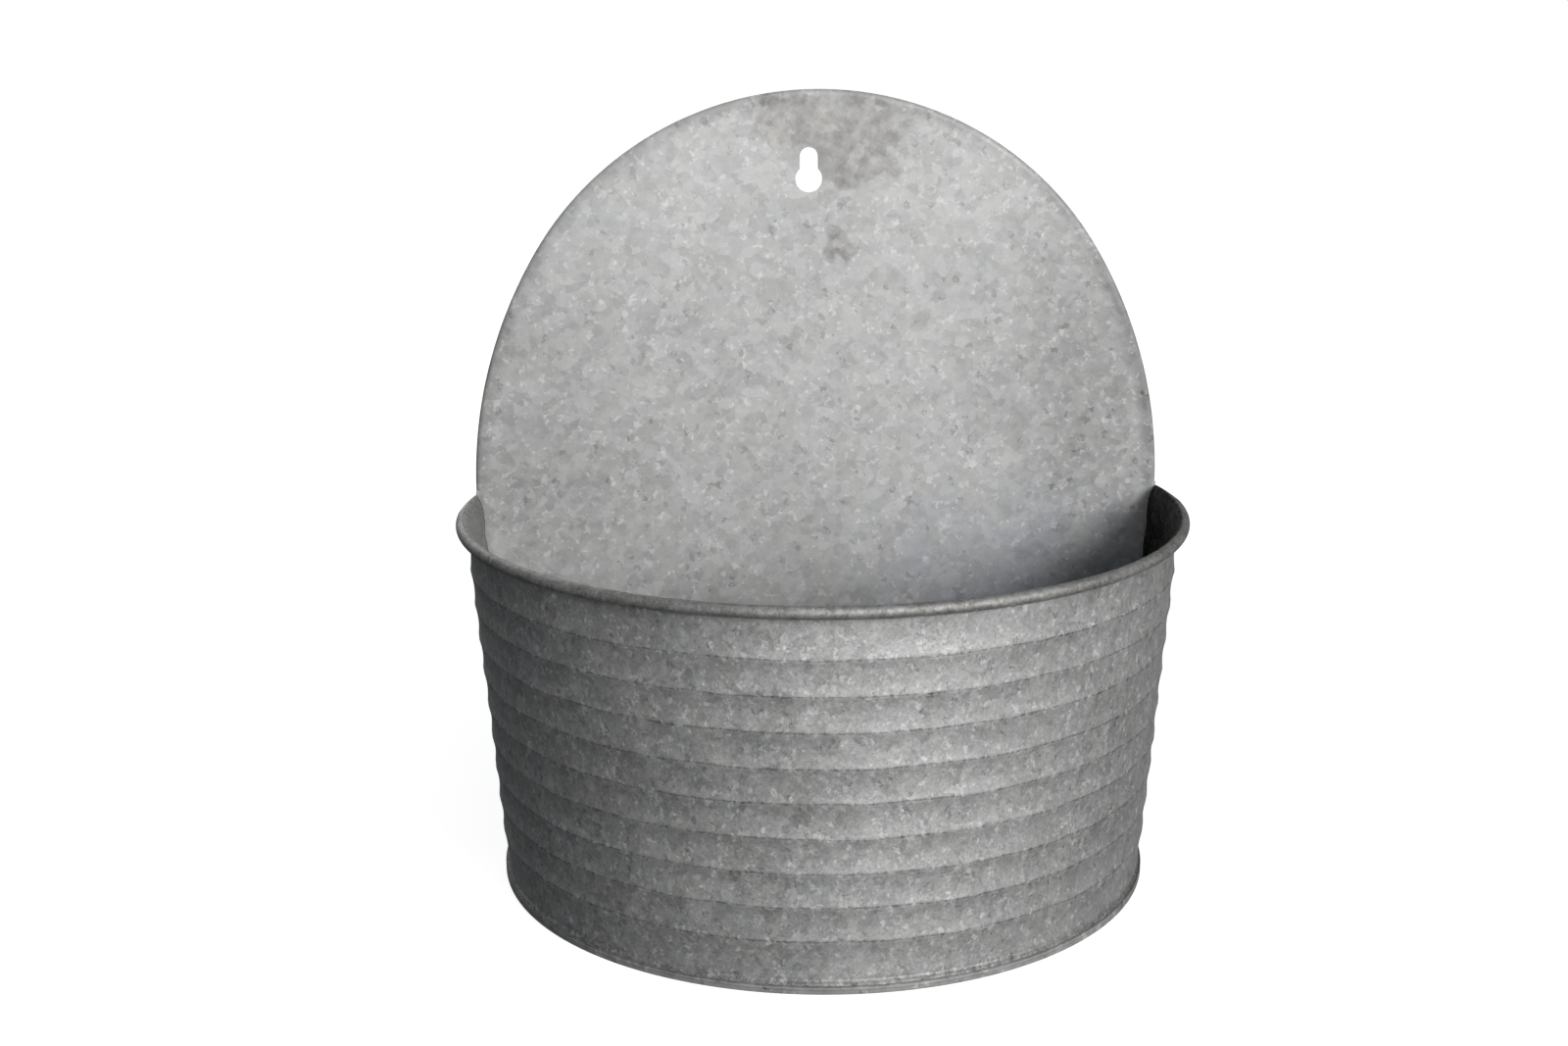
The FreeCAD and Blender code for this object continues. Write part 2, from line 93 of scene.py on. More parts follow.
# %% Floor
def plain_material(name, colour, roughness, glow=0.0):
    material = bpy.data.materials.new(name)
    material.use_nodes = True
    shader = material.node_tree.nodes["Principled BSDF"]
    shader.inputs["Base Color"].default_value = (*colour, 1)
    shader.inputs["Roughness"].default_value = roughness
    shader.inputs["Emission Color"].default_value = (*colour, 1)
    shader.inputs["Emission Strength"].default_value = glow
    return material


def finish_mesh(bm, name):
    """Turns a bmesh into an object at the origin, with smooth faces."""
    mesh = bpy.data.meshes.new(name)
    bm.to_mesh(mesh)
    bm.free()
    mesh.polygons.foreach_set("use_smooth", [True] * len(mesh.polygons))
    piece = bpy.data.objects.new(name, mesh)
    bpy.context.scene.collection.objects.link(piece)
    print(f"{name}: {len(mesh.polygons)} faces")
    return piece


FLOOR_RADIUS = 60.0
bm = bmesh.new()
bmesh.ops.create_circle(bm, cap_ends=True, segments=96, radius=FLOOR_RADIUS)
bmesh.ops.translate(bm, verts=bm.verts, vec=(0, 0, -0.2 * MM))
floor = finish_mesh(bm, "floor")
floor.data.materials.append(plain_material("pale_floor", (0.4, 0.4, 0.4), roughness=0.9,
                                          glow=2.3))
floor.visible_diffuse = False
floor.visible_glossy = False

# %% Lights
def soft_light(name, azimuth, elevation, distance, size, energy, colour):
    """A round lamp that looks at the middle of the planter. Azimuth 0 is in front, 90 right."""
    lamp = bpy.data.lights.new(name, "AREA")
    lamp.shape = "DISK"
    lamp.size = size
    lamp.energy = energy
    lamp.color = colour
    place = Vector((math.sin(azimuth) * math.cos(elevation),
                    -math.cos(azimuth) * math.cos(elevation), math.sin(elevation)))
    holder = bpy.data.objects.new(name, lamp)
    target = Vector((0, 0, 0.15))
    holder.location = target + place * distance
    holder.rotation_euler = place.to_track_quat("Z", "Y").to_euler()
    bpy.context.scene.collection.objects.link(holder)
    return holder


soft_light("key", math.radians(32), math.radians(19.5), 1.8, 0.7, 29, (1.0, 0.998, 0.995))
soft_light("low_key", math.radians(20), math.radians(3), 1.8, 0.7, 6, (1.0, 0.998, 0.995))
soft_light("front_fill", math.radians(4), math.radians(13), 1.8, 0.8, 7, (1.0, 1.0, 1.0))
soft_light("back_glow", math.radians(-116), math.radians(12), 2.2, 1.4, 2, (0.98, 0.99, 1.0))
soft_light("rear_fill", math.radians(202), math.radians(24), 2.2, 1.4, 15, (1.0, 1.0, 1.0))
soft_light("top_glow", math.radians(-15), math.radians(66), 2.0, 1.4, 7, (0.97, 0.985, 1.0))

# %% [markdown]
# ### All round
# The studio walls are far away and dim, and show in the metal only as a faint cool grey, while the
# backdrop is bright. A large lit box could be built for that. Asking whether a ray comes
# straight from the camera is simpler, and gives each its own brightness.

# %% Weak light from all round, and a pale backdrop that only the camera sees
PALE = (1.0, 1.0, 1.0, 1)
DIM = (0.035, 0.039, 0.043, 1)
world = bpy.data.worlds.new("studio")
bpy.context.scene.world = world
world.use_nodes = True
background = world.node_tree.nodes["Background"]
rays = world.node_tree.nodes.new("ShaderNodeLightPath")
seen = world.node_tree.nodes.new("ShaderNodeMix")
seen.data_type = "RGBA"
seen.inputs[6].default_value = DIM
seen.inputs[7].default_value = PALE
world.node_tree.links.new(rays.outputs["Is Camera Ray"], seen.inputs[0])
world.node_tree.links.new(seen.outputs[2], background.inputs["Color"])

# %% [markdown]
# ## Drawing a section
# Sheet metal is easiest to make the way it is made in the workshop: a section is drawn, and then
# carried along a path. A section could be typed in as a list of points, but one point that is
# pulled along straight steps and spun round arc centres needs only the real sizes.

# %% Section helpers
def step_to(bm, tip, x, z):
    """Pulls a line's last point to a new place and returns the new last point."""
    new = bmesh.ops.extrude_vert_indiv(bm, verts=[tip])["verts"][0]
    new.co = Vector((x, tip.co.y, z))
    return new


def spin_tip(bm, tip, centre, angle, steps, axis=(0, 1, 0)):
    """Spins a line's last point. Round +Y, a positive angle turns clockwise seen from the front."""
    turned = bmesh.ops.spin(bm, geom=[tip], cent=centre, axis=axis, angle=angle, steps=steps)
    return next(item for item in turned["geom_last"] if isinstance(item, bmesh.types.BMVert))


def arc_to(bm, tip, x, z, sag, steps):
    """An arc to a new place. Its middle is sag off the straight line: to the left if positive."""
    start, end = tip.co.copy(), Vector((x, tip.co.y, z))
    along = end - start
    radius = (along.length ** 2 / 4 + sag ** 2) / (2 * abs(sag))
    side = math.copysign(1, sag)
    outward = Vector((along.z, 0, -along.x)).normalized() * side
    centre = (start + end) / 2 + outward * (radius - abs(sag))
    angle = 2 * math.asin(along.length / 2 / radius) * side
    return spin_tip(bm, tip, centre, angle, steps)


def sweep(bm, edges, shift, steps):
    """Extrudes a line of edges in several equal steps and returns the last line."""
    for _ in range(steps):
        made = bmesh.ops.extrude_edge_only(bm, edges=edges)["geom"]
        verts = [item for item in made if isinstance(item, bmesh.types.BMVert)]
        edges = [item for item in made if isinstance(item, bmesh.types.BMEdge)]
        bmesh.ops.translate(bm, verts=verts, vec=Vector(shift) / steps)
    return edges


def turn(bm, edges, centre, axis, angle, steps):
    """Spins a line of edges and returns the last line."""
    verts = list({vert for edge in edges for vert in edge.verts})
    made = bmesh.ops.spin(bm, geom=verts + edges, cent=centre, axis=axis, angle=angle, steps=steps)
    return [item for item in made["geom_last"] if isinstance(item, bmesh.types.BMEdge)]


# %% [markdown]
# ## The ribbed wall
# The wall is one strip of sheet. Rollers press shallow hollows between sharp crests, the top edge
# is rolled outward round a wire, and the foot is doubled up outside. A flat ring pushed into shape
# would lose the rolled rim, so the whole section is drawn once, swept along the straight left
# side, spun round the front and swept along the right side.

# %% Sizes of the wall, in metres
SHEET = 0.6 * MM
GAP = 0.05 * MM
BEAD = 2.4 * MM                      # outside radius of a rolled edge
AXIS_Y = 57.0 * MM                   # upright axis of the half round
PLATE_Y = 88.2 * MM                  # front face of the plate
RIM_RADIUS = 147.6 * MM
RIM_HEIGHT = 150.7 * MM
FOOT_RADIUS = 134.35 * MM
FOOT_HEM = 4.4 * MM
TOP_RADIUS = RIM_RADIUS - BEAD + SHEET
SLOPE = (TOP_RADIUS - FOOT_RADIUS) / (RIM_HEIGHT - FOOT_HEM)
LOWEST_CREST, CREST_PITCH, CREST_COUNT = 21.2 * MM, 13.88 * MM, 9
CREST_RISE, FLUTE_DEPTH = 0.4 * MM, 0.60 * MM
FOOT_HOLLOW, NECK_HOLLOW = 0.5 * MM, 0.8 * MM
CURL_TURN = math.radians(310)        # a rolled edge is left open by the rest of the circle


def cone_radius(height):
    return FOOT_RADIUS + SLOPE * (height - FOOT_HEM)


# %% Section of the wall
def draw_wall_section(bm):
    """The closed outline of the sheet at the right end of the wall, where it meets the plate."""
    curl = bm.verts.layers.float.new("curl")
    crests = [LOWEST_CREST + CREST_PITCH * index for index in range(CREST_COUNT)]
    places = [(FOOT_RADIUS, FOOT_HEM)]
    places += [(cone_radius(height) + CREST_RISE, height) for height in crests]
    places += [(TOP_RADIUS, RIM_HEIGHT)]
    sags = [FOOT_HOLLOW] + [FLUTE_DEPTH] * (CREST_COUNT - 1) + [NECK_HOLLOW]
    first = bm.verts.new((FOOT_RADIUS + SHEET, PLATE_Y, SHEET + GAP))
    tip = step_to(bm, first, FOOT_RADIUS + SHEET, FOOT_HEM)
    tip = step_to(bm, tip, *places[0])
    for place, sag in zip(places[1:], sags):
        tip = arc_to(bm, tip, *place, sag, 12)
    centre = Vector((RIM_RADIUS, PLATE_Y, RIM_HEIGHT))
    known = set(bm.verts)
    tip = spin_tip(bm, tip, centre, CURL_TURN, 18)
    reach = (tip.co - centre).normalized() * BEAD
    tip = step_to(bm, tip, centre.x + reach.x, centre.z + reach.z)
    tip = spin_tip(bm, tip, centre, -CURL_TURN, 34)
    for vert in set(bm.verts) - known:
        vert[curl] = 1.0
    for place, sag in zip(places[-2::-1], sags[::-1]):
        tip = arc_to(bm, tip, place[0] - SHEET, place[1], -sag, 6)
    last = step_to(bm, tip, FOOT_RADIUS - SHEET, SHEET + GAP)
    bm.edges.new((last, first))
    return list(bm.edges)


bm = bmesh.new()
section = draw_wall_section(bm)
print("points in the wall's section:", len(bm.verts))

# %% Carry the section round the planter
STRAIGHT = PLATE_Y - AXIS_Y
SIDE_STEPS, ROUND_STEPS = 12, 300
start_ring = list(section)
ring = sweep(bm, section, (0, -STRAIGHT, 0), SIDE_STEPS)
ring = turn(bm, ring, (0, AXIS_Y, 0), (0, 0, 1), -math.pi, ROUND_STEPS)
ring = sweep(bm, ring, (0, STRAIGHT, 0), SIDE_STEPS)
for end in (start_ring, ring):
    bmesh.ops.contextual_create(bm, geom=end)
bmesh.ops.recalc_face_normals(bm, faces=bm.faces)
print("wall after the sweep:", len(bm.faces), "faces")

# %% [markdown]
# ## What the rollers and the hand left
# On the real wall no crest is quite level or straight, and the sheet between two crests bulges a
# little more here and less there. Modifiers could displace it, but moving the points in code keeps
# the foot, the rim and the ends exactly where they have to fit. Near the plate the rolled rim is
# pinched thinner and the wall stands out in a short neck. Three values are kept on each point,
# "crest", "curl" and "inside", so that the zinc can change there.

# %% Uneven ribs and pinched rim
BULGE, RIPPLE, SWAY, TREMBLE = 0.30 * MM, 0.16 * MM, 0.55 * MM, 0.30 * MM
NECK_OUT = 1.1 * MM
# painted shade: a dark line runs along the rolled rim at this angle, on the inner top of the bead
RIM_SHADE_ROLL = 106                    # degrees round the rolled rim where its crease lies


def between(value, low, high):
    """0 below low, 1 above high, and smooth between."""
    share = min(max((value - low) / (high - low), 0.0), 1.0)
    return share * share * (3 - 2 * share)


def crest_distance(height):
    """Height above or below the nearest crest."""
    index = min(max(round((height - LOWEST_CREST) / CREST_PITCH), 0), CREST_COUNT - 1)
    return height - LOWEST_CREST - index * CREST_PITCH


def curl_radius(y):
    """Outside radius of the rolled rim: full round the front, pinched towards the plate."""
    share = min(max((y - AXIS_Y) / STRAIGHT, 0.0), 1.0)
    return BEAD - 1.0 * MM * share - 0.5 * MM * share ** 3


def press(place):
    """How far a point of the wall moves outward and upward, in metres."""
    wide = noise.noise(place / (38 * MM)) * BULGE
    crest = between(4.5 * MM - abs(crest_distance(place.z)), 0, 4.5 * MM)
    ripple = noise.noise(place / (6.5 * MM)) * RIPPLE
    sway = noise.noise(place / (17 * MM) + Vector((7, 3, 5))) * SWAY
    tremble = noise.noise(place / (3.4 * MM) + Vector((1, 9, 2))) * TREMBLE
    return wide + crest * ripple, crest * (sway + tremble)


curl = bm.verts.layers.float["curl"]
crest_mark = bm.verts.layers.float.new("crest")
inside_mark = bm.verts.layers.float.new("inside")
for vert in bm.verts:
    x, y, z = vert.co
    from_axis = Vector((x, min(y - AXIS_Y, 0), 0))
    reach = from_axis.length
    vert[inside_mark] = float(z < RIM_HEIGHT and reach < cone_radius(z) + CREST_RISE / 2
                              and vert.normal.dot(from_axis) < 0)
    if vert[curl] > 0.5:
        roll = math.degrees(math.atan2(z - RIM_HEIGHT, reach - RIM_RADIUS))
        # on the rim the crest value places a dark line of painted shade on the inner top of the
        # bead
        vert[crest_mark] = 0.85 * between(17 - abs(roll - RIM_SHADE_ROLL), 0, 12)
        if y > AXIS_Y:
            side = math.copysign(1, x)
            thinner = BEAD - curl_radius(y)
            offset = Vector((x - side * RIM_RADIUS, 0, z - RIM_HEIGHT))
            offset *= 1 - thinner / offset.length
            vert.co = Vector((side * (RIM_RADIUS - thinner), y, RIM_HEIGHT)) + offset
        continue
    out = from_axis.normalized()
    held = between(z, 6 * MM, 16 * MM) * between(147 * MM - z, 0, 9 * MM)
    held *= between(PLATE_Y - y, 0, 10 * MM)
    vert[crest_mark] = between(1.1 * MM - abs(crest_distance(z)), 0, 1.1 * MM)
    sideways, upward = press(vert.co)
    vert.co += (out * sideways + Vector((0, 0, upward))) * held
    neck = between(z, 132.5 * MM, 140 * MM) * between(150 * MM - z, 0, 7 * MM)
    vert.co += out * neck * between(y, 66 * MM, 84 * MM) * NECK_OUT

wall = finish_mesh(bm, "ribbed_wall")

# %% [markdown]
# ## The back plate
# The plate is a flat sheet with a keyhole. Its arch is rolled backward round a wire, and its
# upright margins are folded forward over the wall's edge. The roll is a section that is spun along
# the three arcs of the arch, and the flat is then filled between the roll and the straight edges,
# so that the two share their points and no line shows where they meet.

# %% Sizes of the plate, in metres
PLATE_HALF = 146.0 * MM
SPRINGING = 153.3 * MM
PLATE_TOP = 320.1 * MM
HAUNCH = math.radians(31.6)
SEAM_LOW, SEAM_HIGH = 5.2 * MM, 146.0 * MM
FLANGE, LIP = 2.6 * MM, 2.4 * MM
KEYHOLE_X, KEYHOLE_Z = -3.3 * MM, 283.8 * MM
ENTRY_RADIUS, SLOT_HALF, SLOT_RISE = 5.55 * MM, 3.75 * MM, 9.2 * MM
bend = math.tan(HAUNCH / 2)
crown_radius = (PLATE_HALF - (PLATE_TOP - SPRINGING) * bend) / (1 - bend)
crown_z = PLATE_TOP - crown_radius
flat_half = PLATE_HALF - BEAD
join_x = (crown_radius - BEAD) * math.cos(HAUNCH)
join_z = crown_z + (crown_radius - BEAD) * math.sin(HAUNCH)
haunch_radius = ((flat_half - join_x) ** 2 + (join_z - SPRINGING) ** 2) / 2 / (flat_half - join_x)
print("crown radius", round(crown_radius / MM, 2), "haunch radius", round(haunch_radius / MM, 2))


def seam_edge(height):
    return cone_radius(height) + FLANGE + GAP + SHEET


# %% Rolled edge of the arch
bm = bmesh.new()
tip = bm.verts.new((flat_half, PLATE_Y, SPRINGING))
roll_centre = Vector((flat_half, PLATE_Y + BEAD, SPRINGING))
tip = spin_tip(bm, tip, roll_centre, CURL_TURN, 30, axis=(0, 0, 1))
inner = roll_centre + (tip.co - roll_centre) * (1 - SHEET / BEAD)
tip = bmesh.ops.extrude_vert_indiv(bm, verts=[tip])["verts"][0]
tip.co = inner
spin_tip(bm, tip, roll_centre, -CURL_TURN, 18, axis=(0, 0, 1))
ring = list(bm.edges)
for centre_x, centre_z, angle, steps in (
        (flat_half - haunch_radius, SPRINGING, HAUNCH, 48),
        (0, crown_z, math.pi - 2 * HAUNCH, 128),
        (haunch_radius - flat_half, SPRINGING, HAUNCH, 48)):
    ring = turn(bm, ring, (centre_x, 0, centre_z), (0, 1, 0), -angle, steps)
bmesh.ops.remove_doubles(bm, verts=bm.verts, dist=CLOSE)
print("rolled edge:", len(bm.faces), "faces")

# %% Straight edges and the keyhole
def draw_line(bm, places):
    """An open line of edges on the plate's front face."""
    tip = bm.verts.new((places[0][0], PLATE_Y, places[0][1]))
    known = set(bm.edges)
    for place in places[1:]:
        tip = step_to(bm, tip, *place)
    return [edge for edge in bm.edges if edge not in known]


foot_half = FOOT_RADIUS + SHEET
right_side = [(flat_half, SPRINGING), (PLATE_HALF, SPRINGING), (PLATE_HALF, SEAM_HIGH),
              (seam_edge(SEAM_HIGH), SEAM_HIGH), (seam_edge(SEAM_LOW), SEAM_LOW),
              (foot_half, SEAM_LOW), (foot_half, SHEET + GAP)]
lower_edges = draw_line(bm, right_side + [(-x, z) for x, z in right_side[::-1]])
known = set(bm.edges)
entry = math.sqrt(ENTRY_RADIUS ** 2 - SLOT_HALF ** 2)
half_gap = math.asin(SLOT_HALF / ENTRY_RADIUS)
tip = start = bm.verts.new((KEYHOLE_X + SLOT_HALF, PLATE_Y, KEYHOLE_Z + entry))
tip = spin_tip(bm, tip, (KEYHOLE_X, PLATE_Y, KEYHOLE_Z), 2 * (math.pi - half_gap), 40)
tip = step_to(bm, tip, KEYHOLE_X - SLOT_HALF, KEYHOLE_Z + SLOT_RISE)
tip = spin_tip(bm, tip, (KEYHOLE_X, PLATE_Y, KEYHOLE_Z + SLOT_RISE), math.pi, 20)
bm.edges.new((tip, start))
keyhole_edges = [edge for edge in bm.edges if edge not in known]
sweep(bm, lower_edges, (0, SHEET, 0), 1)
sweep(bm, keyhole_edges, (0, SHEET, 0), 1)
bmesh.ops.remove_doubles(bm, verts=bm.verts, dist=CLOSE)
print("plate edges:", len(lower_edges), "keyhole edges:", len(keyhole_edges))

# %% Fill the two faces of the flat
for face_y in (PLATE_Y, PLATE_Y + SHEET):
    rim = [edge for edge in bm.edges if edge.is_boundary
           and all(abs(vert.co.y - face_y) < CLOSE for vert in edge.verts)]
    bmesh.ops.triangle_fill(bm, use_beauty=True, edges=rim, normal=(0, -1, 0))
bmesh.ops.holes_fill(bm, edges=[edge for edge in bm.edges if edge.is_boundary], sides=0)
bmesh.ops.recalc_face_normals(bm, faces=bm.faces)
print("plate:", len(bm.faces), "faces,", sum(edge.is_boundary for edge in bm.edges), "open edges")

# %% [markdown]
# ## The folded margins
# Below the rim the plate's margin turns forward and comes back over the wall's flange. It is a
# small L in section, run up the slanting edge, with its outer corners rounded as a fold is.

# %% Folded margins
def add_fold(bm, side):
    turned, back = 2 * SHEET + GAP, SHEET + GAP
    corners = [(0, 0), (0, -turned), (-LIP, -turned), (-LIP, -back), (-SHEET, -back), (-SHEET, 0)]
    low_x, high_x = seam_edge(SEAM_LOW), seam_edge(SEAM_HIGH)
    verts = [bm.verts.new(((low_x + x) * side, PLATE_Y + y, SEAM_LOW)) for x, y in corners]
    face = bm.faces.new(verts)
    made = bmesh.ops.extrude_face_region(bm, geom=[face])["geom"]
    lifted = [item for item in made if isinstance(item, bmesh.types.BMVert)]
    along_seam = Vector(((high_x - low_x) * side, 0, SEAM_HIGH - SEAM_LOW))
    bmesh.ops.translate(bm, verts=lifted, vec=along_seam)
    group = set(verts) | set(lifted)
    outer = [edge for edge in bm.edges if set(edge.verts) <= group
             and all(vert.co.y < PLATE_Y - back - SHEET / 2 for vert in edge.verts)
             and edge.calc_length() > LIP * 2]
    bmesh.ops.bevel(bm, geom=outer, offset=0.28 * MM, segments=4, profile=0.5, affect="EDGES",
                    material=-1)


folds = bmesh.new()
for side in (1, -1):
    add_fold(folds, side)
bmesh.ops.recalc_face_normals(folds, faces=folds.faces)
fold_mesh = bpy.data.meshes.new("folds")
folds.to_mesh(fold_mesh)
folds.free()
bm.from_mesh(fold_mesh)
plate = finish_mesh(bm, "arched_plate")
plate.data.set_sharp_from_angle(angle=math.radians(35))

# %% [markdown]
# ## The pan
# The bottom is a shallow pan. Its edge goes down inside the wall, turns out under it and comes up
# again outside, where it shows as the narrow band at the very foot. The section is a hook that is
# spun round the front, run back along the sides and mitred into the straight back.

# %% Base pan
BAND, PAN_RECESS = 3.3 * MM, 3.0 * MM
inner_leg = FOOT_RADIUS - SHEET - GAP
outer_leg = FOOT_RADIUS + 2 * SHEET + GAP
inner_back, outer_back = PLATE_Y - GAP, PLATE_Y + 2 * SHEET + GAP
pan_floor = PAN_RECESS + SHEET
bm = bmesh.new()
hook = [(inner_leg - SHEET, 0), (outer_leg, 0), (outer_leg, BAND), (outer_leg - SHEET, BAND),
        (outer_leg - SHEET, SHEET), (inner_leg, SHEET), (inner_leg, pan_floor)]
first = tip = bm.verts.new((inner_leg - SHEET, AXIS_Y, PAN_RECESS))
for place in hook:
    tip = step_to(bm, tip, *place)
nearly = 0.01 * MM
corner = [vert for vert in bm.verts if vert.co.z < nearly and vert.co.x > outer_leg - nearly]
top = [vert for vert in bm.verts
       if vert.co.x > outer_leg - SHEET - nearly and vert.co.z > SHEET * 2]
bmesh.ops.bevel(bm, geom=corner + top, offset=0.25 * MM, segments=3, profile=0.5,
                affect="VERTICES", material=-1)
right_ring = list(bm.edges)
left_ring = turn(bm, right_ring, (0, AXIS_Y, 0), (0, 0, 1), -math.pi, 220)
ends = []
for ring in (right_ring, left_ring):
    ring = sweep(bm, ring, (0, inner_back - AXIS_Y, 0), 4)
    for vert in {vert for edge in ring for vert in edge.verts}:
        outside = abs(vert.co.x) > foot_half
        vert.co.y = abs(vert.co.x) + (outer_back - outer_leg if outside else inner_back - inner_leg)
    ends += ring
bmesh.ops.bridge_loops(bm, edges=ends)
rims = [edge for edge in bm.edges if edge.is_boundary]
bmesh.ops.holes_fill(bm, edges=rims, sides=0)
bmesh.ops.recalc_face_normals(bm, faces=bm.faces)
print("pan:", sum(edge.is_boundary for edge in bm.edges), "open edges")
pan = finish_mesh(bm, "base_pan_sheet")
pan.data.set_sharp_from_angle(angle=math.radians(35))

# %% [markdown]
# ## Arithmetic for materials
# Zinc that was dipped hot freezes into crystals, a few millimetres wide, each a slightly different
# grey. Weather then clouds it. An image could be wrapped on, but a pattern that is worked out from
# each point's place in space needs no unwrapping and joins over every fold. Such patterns are sums
# and products of a few textures, so one small class lets Python's own signs add the nodes.

# %% One class for all material arithmetic
class Socket:
    """An output of a node. Arithmetic on it adds Math nodes to the same material."""

    def __init__(self, tree, output=None):
        self.tree, self.output = tree, output

    def node(self, kind, settings=None, inputs=None, output=0):
        """Any other node: settings first, then numbers, colours or sockets for its inputs."""
        made = self.tree.nodes.new(kind)
        for name, setting in (settings or {}).items():
            setattr(made, name, setting)
        for name, given in (inputs or {}).items():
            if isinstance(given, Socket):
                self.tree.links.new(given.output, made.inputs[name])
            else:
                made.inputs[name].default_value = given
        return Socket(self.tree, made.outputs[output])

    def math(self, operation, first, second=0.0):
        return self.node("ShaderNodeMath", {"operation": operation}, {0: first, 1: second})

    def __add__(self, other):
        return self.math("ADD", self, other)

    def __sub__(self, other):
        return self.math("SUBTRACT", self, other)

    def __rsub__(self, other):
        return self.math("SUBTRACT", other, self)

    def __mul__(self, other):
        return self.math("MULTIPLY", self, other)

    __radd__ = __add__
    __rmul__ = __mul__


# %% [markdown]
# ## Patterns in the zinc
# Four simple patterns make all of it: soft clouds (a noise), crystals (random cells whose borders
# are made ragged by pushing the place about), flecks (a few of such cells, picked by their random
# colours), and a smooth step that turns any of them into a mask.

# %% Patterns
def rise(value, low, high):
    """A mask: 0 where a value is under low, 1 where it is over high, and smooth between."""
    return value.node("ShaderNodeMapRange", {"interpolation_type": "SMOOTHSTEP"},
                      {"Value": value, "From Min": low, "From Max": high})


def cloud(place, size, detail=2.0, output=0):
    """Soft clouds about as wide as size, near 0.5."""
    return place.node("ShaderNodeTexNoise", {}, {"Vector": place, "Scale": 1 / size,
                                                 "Detail": detail}, output)


def shift(place, by):
    return place.node("ShaderNodeVectorMath", {"operation": "ADD"}, {0: place, 1: by})


def stretch(place, by):
    return place.node("ShaderNodeVectorMath", {"operation": "MULTIPLY"}, {0: place, 1: by})


def ragged(place, size, reach):
    """The place pushed about by clouds of a size, as far as reach."""
    push = cloud(place, size, 2.0, output=1)
    return place.node("ShaderNodeVectorMath", {"operation": "MULTIPLY_ADD"},
                      {0: push, 1: (reach, reach, reach), 2: place})


def cells(place, size, output="Color"):
    return place.node("ShaderNodeTexVoronoi", {}, {"Vector": place, "Scale": 1 / size}, output)


def tone_of(colour, channel=0):
    return colour.node("ShaderNodeSeparateColor", {}, {0: colour}, channel)


def part_of(place, axis):
    return place.node("ShaderNodeSeparateXYZ", {}, {0: place}, axis)


def distance(across, along):
    """How far a point is from the place where both numbers are 0."""
    squares = across * across + along * along
    return squares.math("SQRT", squares)


def picked(colour, channel, share):
    """1 on a share of the cells, chosen by one channel of their random colours."""
    return rise(tone_of(colour, channel), 1 - share, 1 - share + 0.02)


SPOT_DEPTH = 30 * MM


def spot(place, x, z, width, height):
    """1 in the middle of an upright oval on the plate, and 0 outside it."""
    near = shift(place, (-x, -PLATE_Y, -z))
    near = stretch(near, (1 / width, 1 / SPOT_DEPTH, 1 / height))
    away = near.node("ShaderNodeVectorMath", {"operation": "LENGTH"}, {0: near}, "Value")
    return 1 - rise(away, 0.1, 1.0)


# %% [markdown]
# ## Weathered zinc
# The metal is part mirror and part chalky patina, so it is neither fully metallic nor fully dull.
# Each crystal leans a little its own way, which a flat colour can't show, so the surface normal is
# tilted cell by cell, and the finest grain is a bump. Only the colour, roughness, metal share and
# normal change from place to place.

